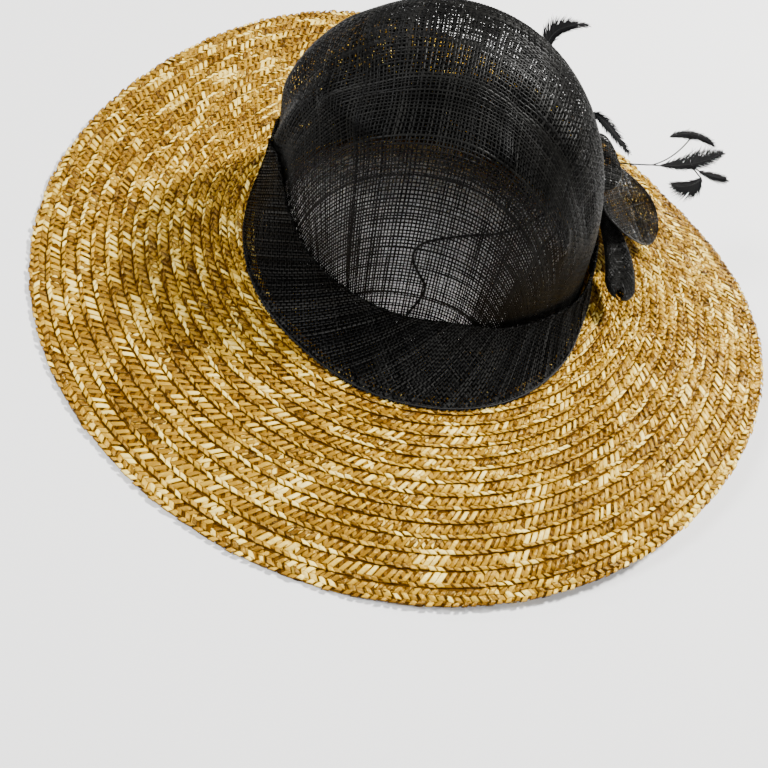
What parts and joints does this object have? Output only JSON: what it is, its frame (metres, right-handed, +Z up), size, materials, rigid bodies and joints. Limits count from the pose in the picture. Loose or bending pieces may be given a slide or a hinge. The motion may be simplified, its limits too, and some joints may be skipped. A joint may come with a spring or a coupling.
{
  "type": "dress hat",
  "caption": "Wide-brim straw dress hat with a tall see-through sinamay crown, a folded band and a petal and feather trim at the back.",
  "frame": {"origin": "on the table under the middle of the brim, at the bottom centre of the bounding box of everything but the loose cord", "axes": "+Z up out of the crown, -Y towards the front edge of the brim, +X towards the side the feathers point to"},
  "size_m": [0.4386, 0.4414, 0.158],
  "materials": {
    "straw": "plaited wheat straw, glossy splints, golden tan with pale cream ones",
    "sinamay": "open weave of stiff black fibre, slightly glossy",
    "plumage": "black feather, soft sheen",
    "elastic": "thin black elastic cord"
  },
  "bodies": {
    "root": {"straw_brim": "straw", "sinamay_crown": "sinamay", "sinamay_band": "sinamay", "trim_knot": "sinamay", "petal_large": "sinamay", "petal_upper": "sinamay", "tail_loop": "sinamay", "feather_spray": "plumage", "inner_cord": "elastic"}
  },
  "joints": []
}
